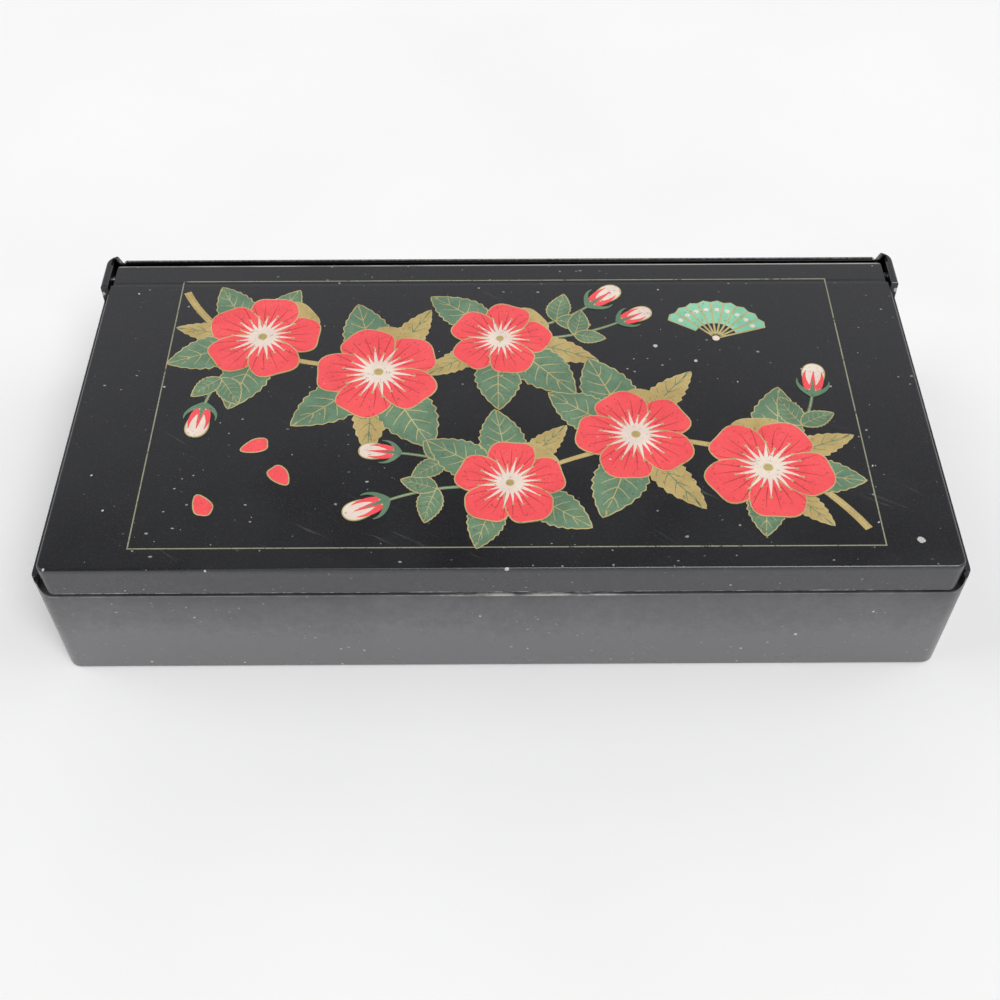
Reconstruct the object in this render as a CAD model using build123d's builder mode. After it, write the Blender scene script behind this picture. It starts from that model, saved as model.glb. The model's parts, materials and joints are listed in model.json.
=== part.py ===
"""Travel jewelry box: a flat moulded case with a hinged lid, a mirror in the lid, velvet compartments and
ring rolls. Millimetres, +X to the right, +Y to the hinge, +Z up, origin on the table under the case's centre.
"""

from build123d import *
import os

os.makedirs("parts", exist_ok=True)

# Case shell
CASE_LENGTH = 195.0
CASE_DEPTH = 98.5
CASE_CORNER_RADIUS = 3.0
CASE_DRAFT = 0.5
CASE_FLOOR = 2.0
CASE_BOTTOM_EDGE = 0.8
WALL = 1.75
LEDGE_WIDTH = 0.85
LEDGE_HEIGHT = 27.8
CAVITY_CORNER_RADIUS = 1.2
RIM_EDGE = 0.35

# How far the lid stands over each rim, and how far the ears stand over the lid
SIDE_RIM_DROP = 4.1
FRONT_RIM_GAP = 0.7
REAR_RIM_DROP = 0.5
EAR_RISE = 0.7
EAR_LENGTH = 11.65
EAR_EDGE = 0.5
EAR_WRAP = 2.2
REAR_RIM_ROUND_SHARE = 0.48
REAR_NOTCH_WIDTH = 2.2
REAR_NOTCH_DEPTH = 1.3
CORNER_STEP = 0.8
CORNER_STEP_LENGTH = 2.0

# Lid shell
LID_PLATE = 2.0
LID_SKIRT_DEPTH = 8.0
LID_RING_WALL = 1.8
LID_SIDE_GAP = 0.25
LID_FRONT_INSET = 0.2
LID_REAR_GAP = 1.35
LID_SEAT_GAP = 0.3
LID_EDGE = 0.5
LID_CORNER_RADIUS = 2.0
LID_REAR_NECK = 0.6
LID_NECK_LENGTH = 7.15
SKIRT_CORNER_RADIUS = 2.2
SKIRT_END_GAP = 0.7
SKIRT_BACK_GAP = 0.35
REAR_RIB_SETBACK = 6.45

# Hinge
PIVOT_TO_REAR_WALL = 3.5
PIVOT_BELOW_LID_TOP = 2.7
PIN_RADIUS = 0.9
PIN_RUNNING_GAP = 0.05
PIN_RECESS = 0.15
PIN_REACH_IN_LUG = 3.5
LUG_RADIUS = 2.1
LUG_WIDTH = 4.0

# Linings of velvet-covered card
FLOOR_LINING = 1.5
WALL_LINING = 1.6
LINING_GAP = 0.2
LINING_BELOW_LEDGE = 0.8
LINING_ROUND = 0.5

# Dividers of velvet-covered card
DIVIDER = 2.4
DIVIDER_BELOW_LINING = 1.5
DIVIDER_GAP = 0.3
DIVIDER_ROUND = 0.9
RING_BAY_WIDTH = 60.0
FRONT_BAY_DEPTH = 48.0
REAR_RIGHT_BAY_WIDTH = 62.0

# Ring rolls
RING_ROLL_COUNT = 7
RING_ROLL_GAP = 0.35
RING_ROLL_HEIGHT = 9.0
RING_ROLL_END_GAP = 0.4
RING_ROLL_END_ROUND = 1.2
RING_ROLL_FOOT_ROUND = 0.8
ROLL_BOARD = 2.0

# Mirror in the lid
MIRROR_LENGTH = 144.0
MIRROR_DEPTH = 60.0
MIRROR_GLASS = 2.0
MIRROR_PAD = 1.0
MIRROR_PAD_INSET = 5.0
MIRROR_EDGE_GAP = 0.4
MIRROR_COVER = 3.0
MIRROR_CORNER_RADIUS = 3.0
SURROUND = 2.2
SURROUND_GAP = 0.3
SURROUND_EDGE = 0.7

# Heights that follow
LID_SKIRT_BOTTOM = LEDGE_HEIGHT + LID_SEAT_GAP
LID_TOP = LID_SKIRT_BOTTOM + LID_SKIRT_DEPTH
LID_UNDERSIDE = LID_TOP - LID_PLATE
SIDE_RIM = LID_TOP - SIDE_RIM_DROP
FRONT_RIM = LID_SKIRT_BOTTOM - FRONT_RIM_GAP
REAR_RIM = LID_TOP - REAR_RIM_DROP
EAR_TOP = LID_TOP + EAR_RISE

# Plan sizes that follow
HALF_LENGTH = CASE_LENGTH / 2
HALF_DEPTH = CASE_DEPTH / 2
LOWER_WALL = WALL + LEDGE_WIDTH
CAVITY_LENGTH = CASE_LENGTH - 2 * LOWER_WALL
CAVITY_DEPTH = CASE_DEPTH - 2 * LOWER_WALL
CAVITY_FRONT = -CAVITY_DEPTH / 2
REAR_WALL_FACE = HALF_DEPTH - WALL
EAR_FRONT = HALF_DEPTH - EAR_LENGTH
LID_HALF_LENGTH = HALF_LENGTH - WALL - LID_SIDE_GAP
LID_FRONT = -HALF_DEPTH + LID_FRONT_INSET
LID_REAR = REAR_WALL_FACE - LID_REAR_GAP
PIVOT_Y = REAR_WALL_FACE - PIVOT_TO_REAR_WALL
PIVOT_Z = LID_TOP - PIVOT_BELOW_LID_TOP

# Cutters reach this far past the faces that they open, and edges are picked this close to a face
PAST = 5.0
NEAR = 0.1


def between(low, high):
    """Middle of a span."""
    return (low + high) / 2


def box_between(x, y, z, mode=Mode.ADD):
    """Block that spans the pairs x, y and z in the part that is being built."""
    with Locations((between(*x), between(*y), between(*z))):
        return Box(x[1] - x[0], y[1] - y[0], z[1] - z[0], mode=mode)


def edges_at(part, axis, low_corner, high_corner):
    """Straight edges along an axis whose middles lie between two corners."""
    found = ShapeList()
    for edge in part.edges().filter_by(axis):
        middle = edge.center()
        if all(a <= m <= b for a, m, b in zip(low_corner, middle, high_corner)):
            found.append(edge)
    return found


def ring_edges(part, height):
    """Edges that lie flat at one height."""
    return part.edges().filter_by_position(Axis.Z, height - NEAR, height + NEAR)


# Case: drafted tray with a stepped wall, a low front, a raised rear rim and two hinge ears
with BuildPart() as base_shell:
    with BuildSketch(Plane.XY):
        RectangleRounded(CASE_LENGTH - 2 * CASE_DRAFT, CASE_DEPTH - 2 * CASE_DRAFT, CASE_CORNER_RADIUS)
    with BuildSketch(Plane.XY.offset(SIDE_RIM)):
        RectangleRounded(CASE_LENGTH, CASE_DEPTH, CASE_CORNER_RADIUS)
    loft()
    with BuildSketch(Plane.XY.offset(SIDE_RIM)):
        RectangleRounded(CASE_LENGTH, CASE_DEPTH, CASE_CORNER_RADIUS)
        with Locations((0, EAR_FRONT - HALF_DEPTH)):
            Rectangle(CASE_LENGTH, CASE_DEPTH, mode=Mode.SUBTRACT)
    extrude(amount=EAR_TOP - SIDE_RIM)
    fillet(ring_edges(base_shell, 0), CASE_BOTTOM_EDGE)

    # hollow under the ledge, and the wider one over it
    with BuildSketch(Plane.XY.offset(CASE_FLOOR)):
        RectangleRounded(CAVITY_LENGTH, CAVITY_DEPTH, CAVITY_CORNER_RADIUS)
    extrude(amount=EAR_TOP, mode=Mode.SUBTRACT)
    upper_span = (CAVITY_FRONT, REAR_WALL_FACE)
    with BuildSketch(Plane.XY.offset(LEDGE_HEIGHT)):
        with Locations((0, between(*upper_span))):
            Rectangle(CASE_LENGTH - 2 * WALL, upper_span[1] - upper_span[0])
    extrude(amount=EAR_TOP, mode=Mode.SUBTRACT)

    # low front, shaped round the skirt's ends
    notch_half = LID_HALF_LENGTH + SKIRT_END_GAP
    notch_height = EAR_TOP - FRONT_RIM + PAST
    with BuildSketch(Plane.XZ.offset(-CAVITY_FRONT)):
        with Locations((0, FRONT_RIM + notch_height / 2)):
            RectangleRounded(2 * notch_half, notch_height, SKIRT_CORNER_RADIUS + FRONT_RIM_GAP)
    extrude(amount=LOWER_WALL + PAST, mode=Mode.SUBTRACT)

    # rim lowered a step at the two front corners
    step_rear = -HALF_DEPTH + CORNER_STEP_LENGTH
    box_between(
        (-HALF_LENGTH - PAST, HALF_LENGTH + PAST),
        (-HALF_DEPTH - PAST, step_rear),
        (SIDE_RIM - CORNER_STEP, SIDE_RIM + PAST),
        mode=Mode.SUBTRACT,
    )

    # rear rim between the ears, with a notch beside each ear
    rim_half = HALF_LENGTH - EAR_WRAP
    notch_inner = rim_half - REAR_NOTCH_WIDTH
    with BuildSketch(Plane.XZ.offset(-HALF_DEPTH - PAST)):
        with BuildLine():
            Polyline(
                (-rim_half - PAST / 2, EAR_TOP + PAST),
                (-rim_half, EAR_TOP),
                (between(-rim_half, -notch_inner), REAR_RIM - REAR_NOTCH_DEPTH),
                (-notch_inner, REAR_RIM),
                (notch_inner, REAR_RIM),
                (between(rim_half, notch_inner), REAR_RIM - REAR_NOTCH_DEPTH),
                (rim_half, EAR_TOP),
                (rim_half + PAST / 2, EAR_TOP + PAST),
                close=True,
            )
        make_face()
    extrude(amount=WALL + 2 * PAST, mode=Mode.SUBTRACT)

    # full round on the rear rim, rounded ears and rims
    rim_zone = ((-notch_inner, 0, REAR_RIM - RIM_EDGE), (notch_inner, HALF_DEPTH + PAST, EAR_TOP))
    fillet(edges_at(base_shell, Axis.X, *rim_zone), WALL * REAR_RIM_ROUND_SHARE)
    wide = HALF_LENGTH + PAST
    ears = ((-wide, EAR_FRONT - NEAR, EAR_TOP - NEAR), (wide, HALF_DEPTH, EAR_TOP + NEAR))
    ear_front = ((-wide, EAR_FRONT - NEAR, EAR_TOP - NEAR), (wide, EAR_FRONT + NEAR, EAR_TOP + NEAR))
    fillet(edges_at(base_shell, Axis.Y, *ears) + edges_at(base_shell, Axis.X, *ear_front), EAR_EDGE)
    inner = HALF_LENGTH - WALL / 2
    side_rims = ((-inner, step_rear, SIDE_RIM - NEAR), (inner, EAR_FRONT, SIDE_RIM + NEAR))
    fillet(edges_at(base_shell, Axis.Y, *side_rims), RIM_EDGE)
    front_low = (-notch_half, -HALF_DEPTH, FRONT_RIM - NEAR)
    front_zone = (front_low, (notch_half, CAVITY_FRONT + NEAR, FRONT_RIM + NEAR))
    fillet(edges_at(base_shell, Axis.X, *front_zone), RIM_EDGE)

    # pin holes through the ears
    with BuildSketch(Plane.YZ.offset(-HALF_LENGTH - PAST)):
        with Locations((PIVOT_Y, PIVOT_Z)):
            Circle(PIN_RADIUS)
    extrude(amount=CASE_LENGTH + 2 * PAST, mode=Mode.SUBTRACT)
base_shell.part.label = "base_shell"
export_step(base_shell.part, "parts/base_shell.step")


# Lid: plate with a rounded edge, a ring wall whose front is the skirt, and two hinge lugs
lid_depth = LID_REAR - LID_FRONT
neck_front = LID_REAR - LID_NECK_LENGTH
rib_rear = LID_REAR - REAR_RIB_SETBACK
lug_outer = LID_HALF_LENGTH - LID_REAR_NECK
with BuildPart() as lid_shell:
    with BuildSketch(Plane.XY.offset(LID_UNDERSIDE)) as lid_plan:
        with Locations((0, between(LID_FRONT, LID_REAR))):
            Rectangle(2 * LID_HALF_LENGTH, lid_depth)
        with Locations((0, between(neck_front, LID_REAR + PAST))):
            Rectangle(2 * LID_HALF_LENGTH + PAST, LID_REAR + PAST - neck_front, mode=Mode.SUBTRACT)
        with Locations((0, between(neck_front - PAST, LID_REAR))):
            Rectangle(2 * lug_outer, LID_REAR - neck_front + PAST)
        fillet(lid_plan.vertices().group_by(Axis.Y)[0], LID_CORNER_RADIUS)
        fillet(lid_plan.vertices().group_by(Axis.Y)[-1], LID_CORNER_RADIUS / 2)
    extrude(amount=LID_PLATE)

    # ring wall under the plate
    ring_rear = rib_rear
    with BuildSketch(Plane.XY.offset(LID_SKIRT_BOTTOM)) as ring_plan:
        with Locations((0, between(LID_FRONT, ring_rear))):
            Rectangle(2 * LID_HALF_LENGTH, ring_rear - LID_FRONT)
        fillet(ring_plan.vertices().group_by(Axis.Y)[0], LID_CORNER_RADIUS)
        with Locations((0, between(LID_FRONT, ring_rear))):
            RectangleRounded(
                2 * (LID_HALF_LENGTH - LID_RING_WALL),
                ring_rear - LID_FRONT - 2 * LID_RING_WALL,
                LID_CORNER_RADIUS / 2,
                mode=Mode.SUBTRACT,
            )
    extrude(amount=LID_SKIRT_DEPTH - LID_PLATE)
    fillet(ring_edges(lid_shell, LID_TOP), LID_EDGE)

    # rounded lower corners of the skirt
    with BuildSketch(Plane.XZ.offset(-LID_FRONT)):
        for side in (-1, 1):
            corner_x = side * (LID_HALF_LENGTH - SKIRT_CORNER_RADIUS / 2)
            with Locations((corner_x, LID_SKIRT_BOTTOM + SKIRT_CORNER_RADIUS / 2)):
                Rectangle(SKIRT_CORNER_RADIUS, SKIRT_CORNER_RADIUS)
            centre_x = side * (LID_HALF_LENGTH - SKIRT_CORNER_RADIUS)
            with Locations((centre_x, LID_SKIRT_BOTTOM + SKIRT_CORNER_RADIUS)):
                Circle(SKIRT_CORNER_RADIUS, mode=Mode.SUBTRACT)
    extrude(amount=-(CAVITY_FRONT + SKIRT_BACK_GAP - LID_FRONT), mode=Mode.SUBTRACT)

    # hinge lugs behind the ring wall, inside the ears
    for side in (-1, 1):
        lug_faces = sorted((side * lug_outer, side * (lug_outer - LUG_WIDTH)))
        with BuildSketch(Plane.YZ.offset(lug_faces[0])):
            with Locations((PIVOT_Y, PIVOT_Z)):
                Circle(LUG_RADIUS)
            web_span = (rib_rear - LID_RING_WALL / 2, PIVOT_Y)
            with Locations((between(*web_span), between(PIVOT_Z - LUG_RADIUS, LID_UNDERSIDE))):
                Rectangle(web_span[1] - web_span[0], LID_UNDERSIDE - PIVOT_Z + LUG_RADIUS)
            with Locations((PIVOT_Y, between(PIVOT_Z, LID_UNDERSIDE))):
                Rectangle(2 * LUG_RADIUS, LID_UNDERSIDE - PIVOT_Z)
        extrude(amount=LUG_WIDTH)
        with BuildSketch(Plane.YZ.offset(lug_faces[0])):
            with Locations((PIVOT_Y, PIVOT_Z)):
                Circle(PIN_RADIUS + PIN_RUNNING_GAP)
        extrude(amount=LUG_WIDTH, mode=Mode.SUBTRACT)
lid_shell.part.label = "lid_shell"
export_step(lid_shell.part, "parts/lid_shell.step")


# Hinge pins, pressed into the ears and running in the lugs
pin_length = WALL + LID_SIDE_GAP + LID_REAR_NECK + PIN_REACH_IN_LUG - PIN_RECESS
for side, side_name in ((-1, "left"), (1, "right")):
    pin_faces = sorted((side * (HALF_LENGTH - PIN_RECESS), side * (HALF_LENGTH - PIN_RECESS - pin_length)))
    with BuildPart() as hinge_pin:
        with BuildSketch(Plane.YZ.offset(pin_faces[0])):
            with Locations((PIVOT_Y, PIVOT_Z)):
                Circle(PIN_RADIUS)
        extrude(amount=pin_length)
    hinge_pin.part.label = f"hinge_pin_{side_name}"
    export_step(hinge_pin.part, f"parts/hinge_pin_{side_name}.step")


# Floor lining, laid on the case floor
floor_top = CASE_FLOOR + FLOOR_LINING
lining_top = LEDGE_HEIGHT - LINING_BELOW_LEDGE
lining_x = CAVITY_LENGTH / 2 - LINING_GAP
lining_y = CAVITY_DEPTH / 2 - LINING_GAP
with BuildPart() as floor_lining:
    with BuildSketch(Plane.XY.offset(CASE_FLOOR)):
        RectangleRounded(2 * lining_x, 2 * lining_y, CAVITY_CORNER_RADIUS)
    extrude(amount=FLOOR_LINING)
floor_lining.part.label = "floor_lining"
export_step(floor_lining.part, "parts/floor_lining.step")


# Wall linings, standing on the floor lining: front and rear full length, left and right between them
side_lining_y = lining_y - WALL_LINING - LINING_GAP
wall_linings = {
    "lining_front": ((-lining_x, lining_x), (-lining_y, -lining_y + WALL_LINING)),
    "lining_rear": ((-lining_x, lining_x), (lining_y - WALL_LINING, lining_y)),
    "lining_left": ((-lining_x, -lining_x + WALL_LINING), (-side_lining_y, side_lining_y)),
    "lining_right": ((lining_x - WALL_LINING, lining_x), (-side_lining_y, side_lining_y)),
}
for lining_name, (x_span, y_span) in wall_linings.items():
    with BuildPart() as wall_lining:
        box_between(x_span, y_span, (floor_top, lining_top))
        if lining_name in ("lining_front", "lining_rear"):
            fillet(wall_lining.edges().filter_by(Axis.Z), CAVITY_CORNER_RADIUS / 2)
        fillet(wall_lining.faces().sort_by(Axis.Z)[-1].edges(), LINING_ROUND)
    wall_lining.part.label = lining_name
    export_step(wall_lining.part, f"parts/{lining_name}.step")


# Dividers, standing on the floor lining between the wall linings and each other
bay_x = lining_x - WALL_LINING
bay_y = lining_y - WALL_LINING
divider_top = lining_top - DIVIDER_BELOW_LINING
ring_divider_x = (-bay_x + RING_BAY_WIDTH, -bay_x + RING_BAY_WIDTH + DIVIDER)
long_divider_y = (-bay_y + FRONT_BAY_DEPTH, -bay_y + FRONT_BAY_DEPTH + DIVIDER)
rear_divider_x = (bay_x - REAR_RIGHT_BAY_WIDTH - DIVIDER, bay_x - REAR_RIGHT_BAY_WIDTH)
dividers = {
    "divider_ring_bay": (ring_divider_x, (-bay_y + DIVIDER_GAP, bay_y - DIVIDER_GAP)),
    "divider_long": ((ring_divider_x[1] + DIVIDER_GAP, bay_x - DIVIDER_GAP), long_divider_y),
    "divider_rear": (rear_divider_x, (long_divider_y[1] + DIVIDER_GAP, bay_y - DIVIDER_GAP)),
}
for divider_name, (x_span, y_span) in dividers.items():
    with BuildPart() as divider:
        box_between(x_span, y_span, (floor_top, divider_top))
        fillet(divider.faces().sort_by(Axis.Z)[-1].edges(), DIVIDER_ROUND)
    divider.part.label = divider_name
    export_step(divider.part, f"parts/{divider_name}.step")


# Ring rolls on their board: long cushions with a crown and drawn-in ends, rings stand between them
board_x = (-bay_x + DIVIDER_GAP, ring_divider_x[0] - DIVIDER_GAP)
board_y = (-bay_y + DIVIDER_GAP, bay_y - DIVIDER_GAP)
board_top = floor_top + ROLL_BOARD
with BuildPart() as ring_roll_board:
    box_between(board_x, board_y, (floor_top, board_top))
ring_roll_board.part.label = "ring_roll_board"
export_step(ring_roll_board.part, "parts/ring_roll_board.step")

roll_pitch = (board_x[1] - board_x[0]) / RING_ROLL_COUNT
roll_radius = (roll_pitch - RING_ROLL_GAP) / 2
roll_y = (board_y[0] + RING_ROLL_END_GAP, board_y[1] - RING_ROLL_END_GAP)
roll_top = board_top + RING_ROLL_HEIGHT
for number in range(1, RING_ROLL_COUNT + 1):
    roll_x = board_x[0] + (number - 0.5) * roll_pitch
    crown_z = roll_top - roll_radius
    with BuildPart() as ring_roll:
        with BuildSketch(Plane.XZ.offset(-roll_y[0])) as roll_section:
            with Locations((roll_x, crown_z)):
                Circle(roll_radius)
            with Locations((roll_x, between(board_top, crown_z))):
                Rectangle(2 * roll_radius, crown_z - board_top)
            fillet(roll_section.vertices().group_by(Axis.Y)[0], RING_ROLL_FOOT_ROUND)
        extrude(amount=-(roll_y[1] - roll_y[0]))
        end_faces = ring_roll.faces().sort_by(Axis.Y)
        crowned_ends = ShapeList(
            edge
            for face in (end_faces[0], end_faces[-1])
            for edge in face.edges()
            if edge.center().Z > board_top + RING_ROLL_FOOT_ROUND
        )
        fillet(crowned_ends, RING_ROLL_END_ROUND)
    ring_roll.part.label = f"ring_roll_{number}"
    export_step(ring_roll.part, f"parts/ring_roll_{number}.step")


# Mirror in the lid: foam pad on the plate, glass on the pad, card spacer round them, covered surround
glass_top = LID_UNDERSIDE - MIRROR_PAD
glass_bottom = glass_top - MIRROR_GLASS
mirror_y = between(LID_FRONT + LID_RING_WALL, rib_rear - LID_RING_WALL)
surround_length = 2 * (LID_HALF_LENGTH - LID_RING_WALL - SURROUND_GAP)
surround_depth = rib_rear - LID_FRONT - 2 * LID_RING_WALL - 2 * SURROUND_GAP
surround_corner = LID_CORNER_RADIUS / 2
with BuildPart() as mirror_pad:
    with BuildSketch(Plane.XY.offset(glass_top)):
        with Locations((0, mirror_y)):
            Rectangle(MIRROR_LENGTH - 2 * MIRROR_PAD_INSET, MIRROR_DEPTH - 2 * MIRROR_PAD_INSET)
    extrude(amount=MIRROR_PAD)
mirror_pad.part.label = "mirror_pad"
export_step(mirror_pad.part, "parts/mirror_pad.step")

with BuildPart() as mirror:
    with BuildSketch(Plane.XY.offset(glass_bottom)):
        with Locations((0, mirror_y)):
            Rectangle(MIRROR_LENGTH, MIRROR_DEPTH)
    extrude(amount=MIRROR_GLASS)
mirror.part.label = "mirror"
export_step(mirror.part, "parts/mirror.step")

with BuildPart() as mirror_spacer:
    with BuildSketch(Plane.XY.offset(glass_bottom)):
        with Locations((0, mirror_y)):
            RectangleRounded(surround_length, surround_depth, surround_corner)
            Rectangle(
                MIRROR_LENGTH + 2 * MIRROR_EDGE_GAP,
                MIRROR_DEPTH + 2 * MIRROR_EDGE_GAP,
                mode=Mode.SUBTRACT,
            )
    extrude(amount=MIRROR_GLASS + MIRROR_PAD)
mirror_spacer.part.label = "mirror_spacer"
export_step(mirror_spacer.part, "parts/mirror_spacer.step")

surround_bottom = glass_bottom - SURROUND
with BuildPart() as mirror_surround:
    with BuildSketch(Plane.XY.offset(surround_bottom)):
        with Locations((0, mirror_y)):
            RectangleRounded(surround_length, surround_depth, surround_corner)
            RectangleRounded(
                MIRROR_LENGTH - 2 * MIRROR_COVER,
                MIRROR_DEPTH - 2 * MIRROR_COVER,
                MIRROR_CORNER_RADIUS,
                mode=Mode.SUBTRACT,
            )
    extrude(amount=SURROUND)
    fillet(mirror_surround.faces().sort_by(Axis.Z)[0].edges(), SURROUND_EDGE)
mirror_surround.part.label = "mirror_surround"
export_step(mirror_surround.part, "parts/mirror_surround.step")
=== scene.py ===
"""Looks of the travel jewelry box: finishes, lid decoration, velvet rolls, light, floor and camera."""

import json
import logging
import math
import random
from dataclasses import dataclass, field
from enum import Enum
from functools import partial, reduce

import bmesh
import bpy
from mathutils import Matrix, Vector, noise


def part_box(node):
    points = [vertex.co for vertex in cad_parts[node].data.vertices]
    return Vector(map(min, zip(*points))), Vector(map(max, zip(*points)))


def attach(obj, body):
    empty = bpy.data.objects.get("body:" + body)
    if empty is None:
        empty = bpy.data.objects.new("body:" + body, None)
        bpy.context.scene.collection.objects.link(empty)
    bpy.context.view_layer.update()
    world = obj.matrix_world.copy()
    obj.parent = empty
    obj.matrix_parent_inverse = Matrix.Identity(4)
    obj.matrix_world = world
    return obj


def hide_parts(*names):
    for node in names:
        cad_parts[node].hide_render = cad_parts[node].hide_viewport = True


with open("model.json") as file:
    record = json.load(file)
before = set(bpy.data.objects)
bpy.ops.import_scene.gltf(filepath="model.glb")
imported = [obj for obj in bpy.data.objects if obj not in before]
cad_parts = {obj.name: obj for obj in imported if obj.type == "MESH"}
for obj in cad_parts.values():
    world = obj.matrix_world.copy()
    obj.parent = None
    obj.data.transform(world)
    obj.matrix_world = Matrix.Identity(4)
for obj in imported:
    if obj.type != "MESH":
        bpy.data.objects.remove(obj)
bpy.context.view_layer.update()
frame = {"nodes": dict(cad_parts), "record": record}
MM = 0.001
NEAR = 0.01 * MM
TOUCHING = 0.001 * MM
UP = 2

Point = tuple[float, float]
Triple = tuple[float, float, float]
Socket = bpy.types.NodeSocket
Sockets = bpy.types.NodeOutputs | bpy.types.NodeInputs
Material = bpy.types.Material
Piece = bpy.types.Object
BMesh = bmesh.types.BMesh
log = logging.getLogger("jewelry_box")

BLACK = (0.0, 0.0, 0.0)
WHITE = (1.0, 1.0, 1.0)
DUST_AND_GLINT = (0.7, 0.69, 0.66)
PALE_GRIT = (0.75, 0.74, 0.7)
PIT = (0.03, 0.03, 0.03)


class Body(Enum):
    """The two moving halves of the box."""

    CASE = "case"
    LID = "lid"


def rgba(colour: object) -> object:
    """Adds a full alpha to a colour of three numbers, and passes a socket on."""
    return (*colour, 1.0) if isinstance(colour, tuple) and len(colour) == 3 else colour


def srgb(red: int, green: int, blue: int) -> Triple:
    """Gives the scene-linear colour of an sRGB colour with channels of 0 to 255."""
    shares = (value / 255 for value in (red, green, blue))
    return tuple(s / 12.92 if s <= 0.04045 else ((s + 0.055) / 1.055) ** 2.4 for s in shares)


class Tree:
    """Short way to write shader nodes into one node tree. Values are numbers, tuples or output sockets."""

    def __init__(self, tree: bpy.types.NodeTree) -> None:
        """Starts on the node tree that the nodes are added to."""
        self.tree = tree

    def put(self, socket: Socket, value: object) -> None:
        """Links an output socket to an input, or writes a plain value into it.

        Args:
            socket: the input.
            value: what goes in.
        """
        if isinstance(value, Socket):
            self.tree.links.new(value, socket)
        else:
            socket.default_value = value

    def node(self, kind: str, values: object = (), **settings: object) -> Sockets:
        """Adds a shader node.

        Args:
            kind: its type, such as "TexNoise".
            values: what its inputs get, as a tuple in their order or as a dict by name.
            settings: its own settings by name.

        Returns:
            Its outputs.
        """
        node = self.tree.nodes.new(f"ShaderNode{kind}")
        for name, value in settings.items():
            setattr(node, name, value)
        for key, value in values.items() if isinstance(values, dict) else enumerate(values):
            self.put(node.inputs[key], value)
        return node.outputs

    def math(self, operation: str, *values: object) -> Socket:
        """Gives the result of an operation on numbers."""
        return self.node("Math", values, operation=operation)[0]

    def vector(self, operation: str, *values: object, result: int = 0) -> Socket:
        """Gives the result of an operation on vectors: a vector, or its number with result 1."""
        return self.node("VectorMath", values, operation=operation)[result]

    def times(self, *values: object) -> Socket:
        """Multiplies numbers in turn."""
        return reduce(partial(self.math, "MULTIPLY"), values)

    def plus(self, *values: object) -> Socket:
        """Adds numbers in turn."""
        return reduce(partial(self.math, "ADD"), values)

    def most(self, *values: object) -> Socket:
        """Gives the largest of some numbers."""
        return reduce(partial(self.math, "MAXIMUM"), values)

    def away(self, value: object, middle: object) -> Socket:
        """Measures how far a number lies from a middle, to either side."""
        return self.math("ABSOLUTE", self.math("SUBTRACT", value, middle))

    def axes(self, vector: object) -> Sockets:
        """Parts a vector into its X, Y and Z."""
        return self.node("SeparateXYZ", (vector,))

    def noise(self, place: object, scale: object, detail: float, roughness: float = 0.5) -> Socket:
        """Gives a noise of so many waves per metre, with so many finer waves and their share."""
        inputs = {"Vector": place, "Scale": scale, "Detail": detail, "Roughness": roughness}
        return self.node("TexNoise", inputs)["Fac"]

    def spread(
        self, value: object, low: float, high: float, to_low: float = 0.0, to_high: float = 1.0
    ) -> Socket:
        """Maps low to to_low and high to to_high, smoothly between them, and holds the ends."""
        return self.node("MapRange", (value, low, high, to_low, to_high), interpolation_type="SMOOTHSTEP")[0]

    def blend(self, factor: object, under: object, over: object) -> Socket:
        """Lays a colour over another one, with a factor as its share."""
        return self.node("Mix", {0: factor, 6: rgba(under), 7: rgba(over)}, data_type="RGBA")[2]

    def stretched(self, vector: object, scale: Triple) -> Socket:
        """Scales coordinates along X, Y and Z, to draw out a pattern."""
        return self.node("Mapping", {"Vector": vector, "Scale": scale})[0]


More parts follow.
